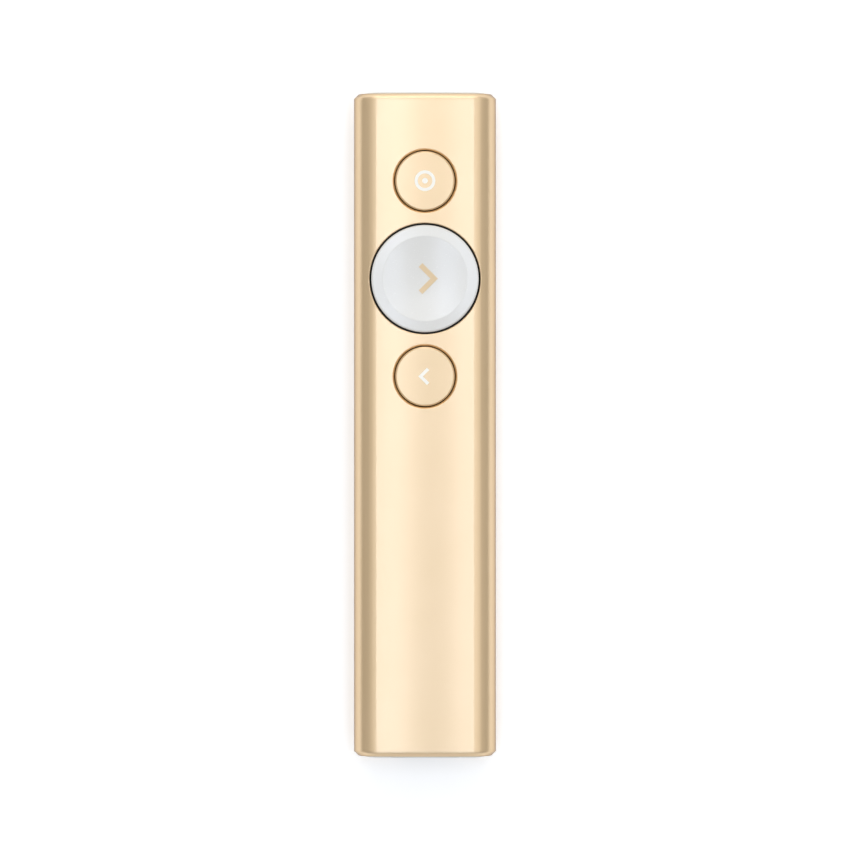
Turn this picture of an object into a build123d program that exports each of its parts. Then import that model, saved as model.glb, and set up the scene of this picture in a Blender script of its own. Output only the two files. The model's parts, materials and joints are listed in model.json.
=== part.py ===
"""Wireless presentation clicker: an anodised aluminium tube with three buttons and a stowed USB receiver.

Frame, in millimetres: the clicker lies on its back. X runs across the body, +Y points at the screen, +Z
comes out of the buttons, and the origin lies on the back, under the middle of the body.
"""

from build123d import *
import os

# ---------------------------------------------------------------- driving dimensions
# Body
body_length = 131.3  # over both end caps
body_width = 28.1
body_thickness = 11.8  # flat of the back to the crest of the front
edge_round = 5.0  # radius of the two long sides
crown_radius = 90.0  # gentle arch across the front
land_width = 12.0  # flat on the back that the clicker lies on
back_rise = 0.5  # how far the back slopes up from the flat to the sides
wall = 1.2  # of the aluminium
seam = 0.05  # between pieces that sit in each other
end_chamfer = 0.85  # of the tube's cut ends

# End caps
cap_proud = 0.35  # the caps stand this far out of the tube
cap_plug = 3.4  # depth of their plugs inside the tube
pillow_inset = 1.75  # from the plug's outline to the flat of the pillowed face
arm_x = 5.5  # snap arms of the front cap
arm_length = 5.0
arm_width = 2.4
arm_thickness = 0.8
hook_depth = 0.6

# Buttons
next_y = 28.8
button_spacing = 19.24
small_cap_radius = 5.85
small_hole_radius = 6.05
small_rim_chamfer = 0.35
large_cap_radius = 10.55
large_hole_radius = 10.93
large_rim_chamfer = 0.15
cap_standout = 0.15  # the small caps follow the arch of the front, this far out of it
large_crest_z = 12.1
dish_radius = 8.4  # finger dish of the large cap
dish_depth = 0.65
crest_round = 0.5
rim_drop = 0.2  # fall of the large cap's rim from the dish's crest to its edge
cap_edge = 0.25
cap_skin = 0.7  # thickness of the caps
small_cap_depth = 0.9  # from the small caps' crest to their stems
flange_overlap = 0.8  # the stems' flanges reach this far under the tube
flange_gap = 0.3  # free height over the flanges
flange_half_width = 10.8
flange_bottom_z = 8.6
post_size = 2.6  # square
post_length = 0.4
travel = 0.3

# Board and what it carries
board_bottom_z = 5.6
board_thickness = 0.8
board_width = 22.6
board_rear_y = -22.5
board_front_y = 59.4
package_chamfer = 0.12
switch_size = 4.5
switch_height = 1.4
plunger_size = 2.2  # square
plunger_play = 0.15
plunger_sink = 0.3  # the plunger's foot sits this deep in the switch at rest
can_wall = 0.2
can_x, can_y = 4.6, -6.0
can_width, can_length, can_height = 9.0, 10.0, 1.5

# Each moulded package: place across and along the board, then width, length and height
packages = {
    "microcontroller": (-4.2, -6.5, 6.0, 6.0, 0.9),
    "charging_chip": (-6.8, -13.4, 3.0, 3.0, 0.75),
    "motion_sensor": (7.4, -15.0, 3.0, 2.5, 0.9),
    "antenna_chip": (0.0, 58.0, 7.0, 2.0, 1.1),
}

# Screws
screw_x = 9.0
screw_rear_y = -19.5
screw_front_y = 57.2
shank_radius = 0.7
screw_depth = 2.8  # thread in the chassis
head_radius = 1.3
head_height = 0.7
boss_size = 3.4  # square pillars

# Chassis
chassis_play = 0.12
chassis_front_y = 60.2
tray_floor_z = 2.1
rail_inner = 10.6
rib_height = 1.8
rib_thickness = 0.8
bay_end_wall = 1.2
relief_width, relief_length, relief_depth = 1.2, 9.0, 2.0  # coring in the rails
relief_pitch = 12.0
relief_count = 5

# Battery, motor and magnet
battery_rear_y = 4.5
battery_length, battery_width, battery_height = 32.0, 16.0, 3.1
battery_round = 1.2
terrace_length, terrace_height = 2.2, 0.9
lead_radius, lead_length, lead_spread = 0.45, 1.9, 1.1
plug_housing_width, plug_housing_length, plug_housing_height = 5.0, 3.4, 2.2
motor_y = 49.0
motor_radius, motor_height, motor_edge = 4.0, 2.7, 0.3
motor_ring_wall, motor_play = 0.8, 0.15
magnet_y = -34.0
magnet_width, magnet_length, magnet_height = 5.0, 10.0, 1.0
magnet_chamfer = 0.15

# Charging socket, a type C one
socket_width, socket_height, socket_length = 8.94, 3.26, 7.3
socket_skin = 0.3
socket_back = 1.1
socket_play = 0.15
tongue_width, tongue_thickness, tongue_length, tongue_corner = 6.7, 0.7, 4.7, 0.2

# Receiver, with a type A plug
receiver_length = 40.4
receiver_width, receiver_height, receiver_corner = 15.1, 5.8, 1.5
receiver_end_chamfer = 0.4
shell_length = 21.6
shell_wall = 0.8
bay_z = 6.0  # height of the receiver's mid plane
bay_play = 0.15
bay_end_gap = 0.55
plug_width, plug_height, plug_wall = 12.0, 4.5, 0.3
plug_rooting = 2.4  # length of the plug inside the receiver's shells
window_width, window_length = 2.5, 2.0
window_x, window_setback = 2.3, 6.2
plug_tongue_height, plug_tongue_play, plug_tongue_setback = 1.9, 0.05, 0.3
contact_width, contact_height = 1.0, 0.15
outer_contact_x, outer_contact_length = 3.5, 7.4
inner_contact_x, inner_contact_length = 1.0, 6.4
contact_setback = 1.2
receiver_board_width, receiver_board_height = 13.0, 0.8
receiver_chip_size, receiver_chip_height = 5.0, 0.9
board_clearance = 0.2
notch_radius = 6.0  # thumb notch under the receiver's end
notch_centre_out = 3.2
groove_radius, groove_inset = 0.5, 2.0  # grip groove over the notch

# ---------------------------------------------------------------- worked out
tube_end = body_length / 2 - cap_proud
body_end = body_length / 2
core_half = body_width / 2 - edge_round
core_top_z = body_thickness - edge_round
core_crown = crown_radius - edge_round
core_shoulder_z = core_top_z - (core_crown - (core_crown**2 - core_half**2) ** 0.5)
inner_outset = edge_round - wall
chassis_outset = inner_outset - chassis_play
flange_outset = inner_outset - flange_gap
board_top_z = board_bottom_z + board_thickness
switch_top_z = board_top_z + switch_height
plunger_top_z = flange_bottom_z - post_length
arm_root_y = tube_end - cap_plug
hook_y = arm_root_y - arm_length
receiver_tail_y = -body_end
receiver_tip_y = receiver_tail_y + receiver_length
shell_front_y = receiver_tail_y + shell_length
bay_end_y = receiver_tip_y + bay_end_gap
tray_rear_y = bay_end_y + bay_end_wall
tray_length = chassis_front_y - tray_rear_y
tray_mid_y = tray_rear_y + tray_length / 2
chassis_rear_y = -tube_end + cap_plug
bay_size = (receiver_width + 2 * bay_play, receiver_height + 2 * bay_play, receiver_corner + bay_play)
screw_spots = [(x, y) for x in (-screw_x, screw_x) for y in (screw_rear_y, screw_front_y)]

# name: place along the body, radius of the cap and of its hole
small_size = (small_cap_radius, small_hole_radius)
buttons = {
    "pointer": (next_y + button_spacing, *small_size),
    "next": (next_y, large_cap_radius, large_hole_radius),
    "back": (next_y - button_spacing, *small_size),
}
# height of each cap's underside, which is also its stem's top
small_ceiling = body_thickness + cap_standout - small_cap_depth
cap_ceiling = {
    "pointer": small_ceiling,
    "next": large_crest_z - dish_depth - cap_skin,
    "back": small_ceiling,
}

os.makedirs("parts", exist_ok=True)


def write_piece(piece, name):
    """Label a finished piece and write its STEP file."""
    piece.label = name
    export_step(piece, f"parts/{name}.step")


def across(y):
    """Plane across the body at y: its X is X, its Y is the body's Z, and its normal points to the rear."""
    return Plane.XZ.offset(-y)


def body_section(plane, outset):
    """Section of the body on a plane: its slim core outline, set out by the radius of the long sides."""
    with BuildSketch(plane) as section:
        with BuildLine():
            crown = ThreePointArc(
                (-core_half, core_shoulder_z), (0, core_top_z), (core_half, core_shoulder_z)
            )
            right_hip = TangentArc(
                (land_width / 2, edge_round), (core_half, edge_round + back_rise), tangent=(1, 0)
            )
            left_hip = TangentArc(
                (-land_width / 2, edge_round), (-core_half, edge_round + back_rise), tangent=(-1, 0)
            )
            Line(crown @ 1, right_hip @ 1)
            Line(right_hip @ 0, left_hip @ 0)
            Line(left_hip @ 1, crown @ 0)
        make_face()
        offset(amount=outset)
    return section.sketch


def receiver_section(plane, width, height, corner):
    """Rounded rectangle about the axis that the receiver, its bay and the charging socket share."""
    with BuildSketch(plane) as section:
        with Locations((0, bay_z)):
            RectangleRounded(width, height, corner)
    return section.sketch


def disc(z, y, radius):
    """Circle on the body's centre line, at height z."""
    with BuildSketch(Plane.XY.offset(z)) as section:
        with Locations((0, y)):
            Circle(radius)
    return section.sketch


# ---------------------------------------------------------------- body_sleeve
# One length of extruded tube with bevelled ends. The button holes go through the front wall only, and each
# rim is broken by a chamfer that follows the arch of the front. The back has the thumb notch at the rear.
with BuildPart() as body_sleeve:
    extrude(body_section(Plane.XZ, edge_round), amount=tube_end, both=True)
    chamfer(body_sleeve.faces().filter_by(Axis.Y).edges(), end_chamfer)
    extrude(body_section(Plane.XZ, inner_outset), amount=tube_end, both=True, mode=Mode.SUBTRACT)
    for name, (hole_y, _, hole_radius) in buttons.items():
        edges_before = body_sleeve.edges()
        extrude(disc(board_top_z, hole_y, hole_radius), amount=body_thickness, mode=Mode.SUBTRACT)
        rim = (body_sleeve.edges() - edges_before).filter_by(
            lambda edge: edge.bounding_box().max.Z > body_thickness - wall / 2
        )
        chamfer(rim, large_rim_chamfer if name == "next" else small_rim_chamfer)
    extrude(disc(0, -tube_end - notch_centre_out, notch_radius), amount=2 * wall, mode=Mode.SUBTRACT)
write_piece(body_sleeve.part, "body_sleeve")


# ---------------------------------------------------------------- end caps
# Each cap is a plug in the tube with a pillowed face. The plastic lets the radio out of the metal body.
def end_cap(sign):
    """Plug and pillowed face of the cap at the front (sign 1) or the rear (sign -1), as one solid."""
    plug_outset = inner_outset - seam
    with BuildPart() as cap:
        extrude(
            body_section(across(sign * (tube_end - cap_plug / 2)), plug_outset),
            amount=cap_plug / 2,
            both=True,
        )
        loft(
            [
                body_section(across(sign * tube_end), plug_outset),
                body_section(across(sign * body_end), plug_outset - pillow_inset),
            ]
        )
    return cap.part


# The front cap has two snap arms along the chassis floor, each with a hook that drops into a slot in it.
arm_bottom_z = tray_floor_z + chassis_play
with BuildPart() as front_end_cap:
    add(end_cap(1))
    with BuildSketch(Plane.XY.offset(arm_bottom_z)):
        with Locations((-arm_x, arm_root_y), (arm_x, arm_root_y)):
            Rectangle(arm_width, arm_length, align=(Align.CENTER, Align.MAX))
    extrude(amount=arm_thickness)
    with BuildSketch(Plane.XY.offset(arm_bottom_z - hook_depth)):
        with Locations((-arm_x, hook_y), (arm_x, hook_y)):
            Rectangle(arm_width, arm_thickness, align=(Align.CENTER, Align.MIN))
    extrude(amount=hook_depth)
write_piece(front_end_cap.part, "front_end_cap")

# The rear cap frames the receiver's bay and shares the thumb notch with the tube.
with BuildPart() as rear_end_cap:
    add(end_cap(-1))
    extrude(
        receiver_section(across(-body_end), *bay_size),
        amount=-(cap_plug + cap_proud),
        mode=Mode.SUBTRACT,
    )
    extrude(disc(0, -tube_end - notch_centre_out, notch_radius), amount=bay_z, mode=Mode.SUBTRACT)
write_piece(rear_end_cap.part, "rear_end_cap")


# ---------------------------------------------------------------- inner_chassis
# Moulded carrier: a closed tunnel for the receiver at the rear, and in front of it an open tray with cored
# rails, bosses, battery ribs and the motor's ring.
with BuildPart() as inner_chassis:
    extrude(
        body_section(across(chassis_front_y), chassis_outset),
        amount=chassis_front_y - chassis_rear_y,
    )
    # everything above the rails, over the length of the board
    with BuildSketch(Plane.XY.offset(board_bottom_z)):
        with Locations((0, tray_mid_y)):
            Rectangle(body_width, tray_length)
    extrude(amount=body_thickness, mode=Mode.SUBTRACT)
    # the tray between the rails
    with BuildSketch(Plane.XY.offset(tray_floor_z)):
        with Locations((0, tray_mid_y)):
            Rectangle(2 * rail_inner, tray_length)
    extrude(amount=board_bottom_z - tray_floor_z, mode=Mode.SUBTRACT)
    # coring in the rails, so that the thick sides don't sink
    with BuildSketch(Plane.XY.offset(board_bottom_z)):
        with Locations((0, tray_mid_y)):
            with GridLocations(2 * rail_inner + relief_width, relief_pitch, 2, relief_count):
                Rectangle(relief_width, relief_length)
    extrude(amount=-relief_depth, mode=Mode.SUBTRACT)
    # ribs across the floor at both ends of the battery
    with BuildSketch(Plane.XY.offset(tray_floor_z)):
        with Locations(
            (0, battery_rear_y - rib_thickness),
            (0, battery_rear_y + battery_length + rib_thickness),
        ):
            Rectangle(2 * rail_inner, rib_thickness)
    extrude(amount=rib_height)
    # ring that holds the coin motor
    with BuildSketch(Plane.XY.offset(tray_floor_z)):
        with Locations((0, motor_y)):
            Circle(motor_radius + motor_play + motor_ring_wall)
            Circle(motor_radius + motor_play, mode=Mode.SUBTRACT)
    extrude(amount=rib_height)
    # screw bosses, joined to the rails
    with BuildSketch(Plane.XY.offset(tray_floor_z)):
        with Locations(*screw_spots):
            Rectangle(boss_size, boss_size)
    extrude(amount=board_bottom_z - tray_floor_z)
    with Locations(*[(x, y, board_bottom_z) for x, y in screw_spots]):
        Hole(shank_radius, depth=board_bottom_z - tray_floor_z)
    # slots for the front cap's hooks
    with BuildSketch(Plane.XY):
        with Locations((-arm_x, hook_y + arm_thickness / 2), (arm_x, hook_y + arm_thickness / 2)):
            Rectangle(arm_width + 2 * chassis_play, arm_thickness + 2 * chassis_play)
    extrude(amount=tray_floor_z, mode=Mode.SUBTRACT)
    # the bay, the charging socket's window in its end wall, and the magnet's pocket under it
    extrude(
        receiver_section(across(chassis_rear_y), *bay_size),
        amount=-(bay_end_y - chassis_rear_y),
        mode=Mode.SUBTRACT,
    )
    extrude(
        receiver_section(
            across(bay_end_y),
            socket_width + seam,
            socket_height + seam,
            socket_height / 2,
        ),
        amount=-bay_end_wall,
        mode=Mode.SUBTRACT,
    )
    with BuildSketch(Plane.XY):
        with Locations((0, magnet_y)):
            Rectangle(magnet_width, magnet_length)
    extrude(amount=wall + chassis_play + magnet_height, mode=Mode.SUBTRACT)
write_piece(inner_chassis.part, "inner_chassis")

with BuildPart() as bay_magnet:
    with BuildSketch(Plane.XY.offset(wall + chassis_play)):
        with Locations((0, magnet_y)):
            Rectangle(magnet_width, magnet_length)
    extrude(amount=magnet_height)
    chamfer(bay_magnet.edges().filter_by(Axis.Z), magnet_chamfer)
write_piece(bay_magnet.part, "bay_magnet")


# ---------------------------------------------------------------- main_board and its screws
with BuildPart() as main_board:
    with BuildSketch(Plane.XY.offset(board_bottom_z)):
        with Locations((0, (board_rear_y + board_front_y) / 2)):
            Rectangle(board_width, board_front_y - board_rear_y)
        with Locations((0, bay_end_y + socket_length + socket_play)):
            Rectangle(
                socket_width + 2 * socket_play,
                socket_length,
                align=(Align.CENTER, Align.MAX),
                mode=Mode.SUBTRACT,
            )
    extrude(amount=board_thickness)
    with Locations(*[(x, y, board_top_z) for x, y in screw_spots]):
        Hole(shank_radius)
write_piece(main_board.part, "main_board")

# Four pan-head screws clamp the board on the chassis bosses.
with BuildPart() as board_screws:
    with BuildSketch(Plane.XY.offset(board_top_z)):
        with Locations(*screw_spots):
            Circle(head_radius)
    extrude(amount=head_height)
    with BuildSketch(Plane.XY.offset(board_top_z)):
        with Locations(*screw_spots):
            Circle(shank_radius)
    extrude(amount=-(board_thickness + screw_depth))
write_piece(board_screws.part, "board_screws")


# ---------------------------------------------------------------- chips, can and socket
def moulded_package(name, z, x, y, width, length, height):
    """A moulded chip that stands on a board, with its upper edges broken."""
    with BuildPart() as package:
        with BuildSketch(Plane.XY.offset(z)):
            with Locations((x, y)):
                Rectangle(width, length)
        extrude(amount=height)
        chamfer(package.faces().sort_by(Axis.Z)[-1].edges(), package_chamfer)
    write_piece(package.part, name)


for name, place_and_size in packages.items():
    moulded_package(name, board_top_z, *place_and_size)

# Folded steel can over the radio: an upturned tray, open to the board.
with BuildPart() as radio_shield_can:
    with BuildSketch(Plane.XY.offset(board_top_z)) as can_outline:
        with Locations((can_x, can_y)):
            Rectangle(can_width, can_length)
    extrude(amount=can_height)
    chamfer(radio_shield_can.faces().sort_by(Axis.Z)[-1].edges(), can_wall)
    extrude(
        offset(can_outline.sketch, amount=-can_wall, mode=Mode.PRIVATE),
        amount=can_height - can_wall,
        mode=Mode.SUBTRACT,
    )
write_piece(radio_shield_can.part, "radio_shield_can")

# Charging socket: a drawn shell with a tongue, let into the board's rear edge.
oval = socket_height / 2 - seam
with BuildPart() as usb_c_socket:
    extrude(
        receiver_section(across(bay_end_y), socket_width, socket_height, oval),
        amount=-socket_length,
    )
    extrude(
        receiver_section(
            across(bay_end_y),
            socket_width - 2 * socket_skin,
            socket_height - 2 * socket_skin,
            oval - socket_skin,
        ),
        amount=-(socket_length - socket_back),
        mode=Mode.SUBTRACT,
    )
    extrude(
        receiver_section(
            across(bay_end_y + socket_length - socket_back),
            tongue_width,
            tongue_thickness,
            tongue_corner,
        ),
        amount=tongue_length,
    )
write_piece(usb_c_socket.part, "usb_c_socket")


# ---------------------------------------------------------------- battery and motor
# Pouch cell with its folded terrace, the two leads, and their plug under the board.
lead_z = board_bottom_z - plug_housing_height / 2
with BuildPart() as battery_cell:
    with BuildSketch(Plane.XY.offset(tray_floor_z + seam)):
        with Locations((0, battery_rear_y + terrace_length)):
            Rectangle(
                battery_width, battery_length - terrace_length, align=(Align.CENTER, Align.MIN)
            )
    extrude(amount=battery_height)
    fillet(battery_cell.edges().filter_by(Axis.Y), battery_round)
    with BuildSketch(Plane.XY.offset(lead_z - terrace_height / 2)):
        with Locations((0, battery_rear_y)):
            Rectangle(
                battery_width - 2 * battery_round, terrace_length, align=(Align.CENTER, Align.MIN)
            )
    extrude(amount=terrace_height)
write_piece(battery_cell.part, "battery_cell")

with BuildPart() as battery_leads:
    with BuildSketch(across(battery_rear_y)):
        with Locations((-lead_spread, lead_z), (lead_spread, lead_z)):
            Circle(lead_radius)
    extrude(amount=lead_length)
write_piece(battery_leads.part, "battery_leads")

with BuildPart() as battery_connector:
    with BuildSketch(Plane.XY.offset(board_bottom_z - plug_housing_height)):
        with Locations((0, battery_rear_y - lead_length)):
            Rectangle(plug_housing_width, plug_housing_length, align=(Align.CENTER, Align.MAX))
    extrude(amount=plug_housing_height)
    chamfer(battery_connector.edges().filter_by(Axis.Z), package_chamfer)
write_piece(battery_connector.part, "battery_connector")

# Coin motor: a drawn can with a bevelled edge, seated in the chassis ring.
with BuildPart() as vibration_motor:
    extrude(disc(tray_floor_z, motor_y, motor_radius), amount=motor_height)
    chamfer(vibration_motor.faces().sort_by(Axis.Z)[-1].edges(), motor_edge)
write_piece(vibration_motor.part, "vibration_motor")


# ---------------------------------------------------------------- stems, plungers and switches
# The stem's flange is saddle shaped: its top follows the arch of the tube's inner wall at an even gap, so
# that the whole flange stops against the tube. The post under it stands on the switch's plunger.
for name, (y, cap_radius, hole_radius) in buttons.items():
    with BuildPart() as button_stem:
        with BuildSketch(Plane.XY.offset(flange_bottom_z)):
            with Locations((0, y)):
                Circle(hole_radius + flange_overlap)
                Rectangle(2 * flange_half_width, body_length, mode=Mode.INTERSECT)
        extrude(amount=body_thickness - flange_bottom_z)
        extrude(
            body_section(across(y), flange_outset),
            amount=body_width,
            both=True,
            mode=Mode.INTERSECT,
        )
        extrude(
            disc(flange_bottom_z, y, cap_radius - cap_skin),
            amount=cap_ceiling[name] - flange_bottom_z,
        )
        with BuildSketch(Plane.XY.offset(plunger_top_z)):
            with Locations((0, y)):
                Rectangle(post_size, post_size)
        extrude(amount=post_length)
    write_piece(button_stem.part, f"{name}_button_stem")

    with BuildPart() as plunger:
        with BuildSketch(Plane.XY.offset(switch_top_z - plunger_sink)):
            with Locations((0, y)):
                Rectangle(plunger_size, plunger_size)
        extrude(amount=plunger_top_z - switch_top_z + plunger_sink)
    write_piece(plunger.part, f"{name}_plunger")

    # the switch is a square body with a well, deep enough for the plunger's travel
    with BuildPart() as switch:
        with BuildSketch(Plane.XY.offset(board_top_z)):
            with Locations((0, y)):
                Rectangle(switch_size, switch_size)
        extrude(amount=switch_height)
        chamfer(switch.edges().filter_by(Axis.Z), package_chamfer)
        with BuildSketch(Plane.XY.offset(switch_top_z)):
            with Locations((0, y)):
                Rectangle(plunger_size + 2 * plunger_play, plunger_size + 2 * plunger_play)
        extrude(amount=-(plunger_sink + travel + plunger_play), mode=Mode.SUBTRACT)
    write_piece(switch.part, f"{name}_switch")


# ---------------------------------------------------------------- button caps
# Each cap is a shallow cup over its stem. Its skirt is cut to the flange's saddle, a seam's width above it.
saddle = body_section(Plane.XZ, flange_outset + seam)

for name in ("pointer", "back"):
    y, cap_radius, _ = buttons[name]
    with BuildPart() as small_cap:
        extrude(disc(flange_bottom_z, y, cap_radius), amount=body_thickness)
        extrude(
            body_section(across(y), edge_round + cap_standout),
            amount=body_width,
            both=True,
            mode=Mode.INTERSECT,
        )
        chamfer(small_cap.faces().sort_by(Axis.Z)[-1].edges(), cap_edge)
        extrude(
            disc(flange_bottom_z, y, cap_radius - cap_skin),
            amount=cap_ceiling[name] - flange_bottom_z,
            mode=Mode.SUBTRACT,
        )
        extrude(saddle, amount=body_length, both=True, mode=Mode.SUBTRACT)
    write_piece(small_cap.part, f"{name}_button_cap")

# The large cap is turned about its own axis: a spherical finger dish in a rim that falls gently to its edge.
dish_sphere = (dish_radius**2 + dish_depth**2) / (2 * dish_depth)
large_edge_z = large_crest_z - rim_drop
with BuildPart() as next_button_cap:
    with BuildSketch(across(next_y)):
        with BuildLine():
            Polyline(
                (0, large_crest_z),
                (dish_radius, large_crest_z),
                (large_cap_radius - cap_edge, large_edge_z),
                (large_cap_radius, large_edge_z - cap_edge),
                (large_cap_radius, flange_bottom_z),
                (large_cap_radius - cap_skin, flange_bottom_z),
                (large_cap_radius - cap_skin, cap_ceiling["next"]),
                (0, cap_ceiling["next"]),
                close=True,
            )
        make_face()
    revolve(axis=Axis((0, next_y, 0), (0, 0, 1)))
    with Locations((0, next_y, large_crest_z - dish_depth + dish_sphere)):
        Sphere(dish_sphere, mode=Mode.SUBTRACT)
    fillet(next_button_cap.edges().group_by(Axis.Z)[-1], crest_round)
    extrude(saddle, amount=body_length, both=True, mode=Mode.SUBTRACT)
write_piece(next_button_cap.part, "next_button_cap")


# ---------------------------------------------------------------- receiver
# Two moulded half shells meet at the mid plane and hold the board and the plug's root. The lower one has a
# grip groove over the thumb notch.
with BuildPart() as receiver_shell:
    extrude(
        receiver_section(across(receiver_tail_y), receiver_width, receiver_height, receiver_corner),
        amount=-shell_length,
    )
    chamfer(receiver_shell.faces().filter_by(Axis.Y).edges(), receiver_end_chamfer)
    extrude(
        receiver_section(
            across(receiver_tail_y + shell_wall),
            receiver_width - 2 * shell_wall,
            receiver_height - 2 * shell_wall,
            receiver_corner - shell_wall,
        ),
        amount=-(shell_length - 2 * shell_wall),
        mode=Mode.SUBTRACT,
    )
    extrude(
        receiver_section(across(shell_front_y), plug_width, plug_height, plug_wall),
        amount=plug_rooting,
        mode=Mode.SUBTRACT,
    )
    with BuildSketch(Plane.YZ):
        with Locations((receiver_tail_y + groove_inset, bay_z - receiver_height / 2)):
            Circle(groove_radius)
    extrude(amount=notch_radius / 2, both=True, mode=Mode.SUBTRACT)

for name, kept in (("receiver_upper_shell", Keep.TOP), ("receiver_lower_shell", Keep.BOTTOM)):
    with BuildPart() as half_shell:
        add(receiver_shell.part)
        split(bisect_by=Plane.XY.offset(bay_z), keep=kept)
    write_piece(half_shell.part, name)

# Stamped steel plug shell, with its two pairs of latch windows.
plug_root_y = shell_front_y - plug_rooting
plug_length = receiver_tip_y - plug_root_y
with BuildPart() as receiver_plug_shell:
    extrude(
        receiver_section(across(plug_root_y), plug_width, plug_height, plug_wall),
        amount=-plug_length,
    )
    extrude(
        receiver_section(
            across(plug_root_y),
            plug_width - 2 * plug_wall,
            plug_height - 2 * plug_wall,
            plug_wall / 3,
        ),
        amount=-plug_length,
        mode=Mode.SUBTRACT,
    )
    with BuildSketch(Plane.XY.offset(bay_z)):
        with Locations(
            (-window_x, receiver_tip_y - window_setback), (window_x, receiver_tip_y - window_setback)
        ):
            Rectangle(window_width, window_length)
    extrude(amount=plug_height, both=True, mode=Mode.SUBTRACT)
write_piece(receiver_plug_shell.part, "receiver_plug_shell")

# Insulating tongue that fills the lower half of the plug, and the four contacts along its top.
plug_tongue_z = bay_z - plug_height / 2 + plug_wall
with BuildPart() as receiver_tongue:
    with BuildSketch(Plane.XY.offset(plug_tongue_z)):
        with Locations((0, receiver_tip_y - plug_tongue_setback)):
            Rectangle(
                plug_width - 2 * (plug_wall + plug_tongue_play),
                plug_length - plug_tongue_setback,
                align=(Align.CENTER, Align.MAX),
            )
    extrude(amount=plug_tongue_height)
    nose = receiver_tongue.faces().sort_by(Axis.Y)[-1]
    chamfer(nose.edges().sort_by(Axis.Z)[-1], 2 * package_chamfer)
write_piece(receiver_tongue.part, "receiver_tongue")

with BuildPart() as receiver_contacts:
    with BuildSketch(Plane.XY.offset(plug_tongue_z + plug_tongue_height)):
        for contact_x, contact_length in (
            (outer_contact_x, outer_contact_length),
            (inner_contact_x, inner_contact_length),
        ):
            contact_y = receiver_tip_y - contact_setback - outer_contact_length
            with Locations((-contact_x, contact_y), (contact_x, contact_y)):
                Rectangle(contact_width, contact_length, align=(Align.CENTER, Align.MIN))
    extrude(amount=contact_height)
write_piece(receiver_contacts.part, "receiver_contacts")

# Board and radio chip in the receiver's shells.
receiver_board_rear_y = receiver_tail_y + shell_wall + board_clearance
receiver_board_length = plug_root_y - board_clearance - receiver_board_rear_y
with BuildPart() as receiver_board:
    with BuildSketch(Plane.XY.offset(bay_z - receiver_board_height / 2)):
        with Locations((0, receiver_board_rear_y)):
            Rectangle(
                receiver_board_width, receiver_board_length, align=(Align.CENTER, Align.MIN)
            )
    extrude(amount=receiver_board_height)
write_piece(receiver_board.part, "receiver_board")

moulded_package(
    "receiver_chip",
    bay_z + receiver_board_height / 2,
    0,
    receiver_board_rear_y + receiver_board_length / 2,
    receiver_chip_size,
    receiver_chip_size,
    receiver_chip_height,
)
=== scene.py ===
# %% [markdown]
# # A wireless presentation clicker, dressed for a studio picture
#
# The clicker is a slim tube of pale gold anodised aluminium. Three round buttons stand in its front, a
# plastic cap closes each end, and a small plug-in receiver rests in a bay at the rear. The construction
# comes in as fixed meshes, one for each piece. This lesson gives every piece its finish, adds the fine
# pieces that the construction leaves out, such as the printed icons and the screws' recesses, and sets up a
# camera and light.

# %% Load the frame
import json
import math

import bmesh
import bpy
from mathutils import Matrix, Vector
from mathutils.bvhtree import BVHTree


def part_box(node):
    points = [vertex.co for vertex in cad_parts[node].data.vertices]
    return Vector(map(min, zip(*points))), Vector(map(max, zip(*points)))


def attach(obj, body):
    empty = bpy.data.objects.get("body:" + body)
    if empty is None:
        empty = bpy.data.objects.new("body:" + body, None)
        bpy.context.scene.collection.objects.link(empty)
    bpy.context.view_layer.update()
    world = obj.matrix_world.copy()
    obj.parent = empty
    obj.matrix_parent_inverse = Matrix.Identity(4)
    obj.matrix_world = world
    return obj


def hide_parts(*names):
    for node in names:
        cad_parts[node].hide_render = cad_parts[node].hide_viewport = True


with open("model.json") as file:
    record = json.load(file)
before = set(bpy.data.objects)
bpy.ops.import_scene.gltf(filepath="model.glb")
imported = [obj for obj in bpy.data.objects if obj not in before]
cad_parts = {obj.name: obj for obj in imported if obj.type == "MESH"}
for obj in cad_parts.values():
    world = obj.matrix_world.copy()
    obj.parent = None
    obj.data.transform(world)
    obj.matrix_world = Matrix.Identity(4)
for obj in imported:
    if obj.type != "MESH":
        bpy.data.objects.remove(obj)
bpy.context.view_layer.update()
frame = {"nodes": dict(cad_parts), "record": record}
MM = 0.001
scene = bpy.context.scene

# %% [markdown]
# ## The camera
#
# A product like this is often shown flat, from straight above, with a long lens so that the sides stay
# nearly parallel. The camera hangs a metre over the clicker. The lens is worked out from how large one
# millimetre should come out at mid height of the body, so the picture's scale is a plain number to change.

# %% Camera
PICTURE_PIXELS = 850
PIXELS_PER_MM = 5.055
CAMERA_HEIGHT = 1000 * MM
SCALE_HEIGHT = 6 * MM  # where the scale holds: the middle of the body

camera_data = bpy.data.cameras.new("camera")
camera_data.sensor_width = 36
view_width = PICTURE_PIXELS / PIXELS_PER_MM * MM
camera_data.lens = camera_data.sensor_width * (CAMERA_HEIGHT - SCALE_HEIGHT) / view_width
camera = bpy.data.objects.new("camera", camera_data)
camera.location = (0, 0, CAMERA_HEIGHT)
scene.collection.objects.link(camera)
scene.camera = camera
print("lens", round(camera_data.lens, 1), "mm")

# %% [markdown]
# ## Helpers for node materials
#
# Every finish below is a small tree of shader nodes. One function adds a node, sets its options and wires
# its inputs. Another starts a material with its shader. Colours are written as sRGB hex values, as in a
# paint program, and turned into the linear values that a shader wants. Patterns read Object coordinates,
# which are metres on the piece itself, so each pattern's size can be worked out from real millimetres: a
# texture whose features are s millimetres across has a scale of one over s millimetres.


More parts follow.
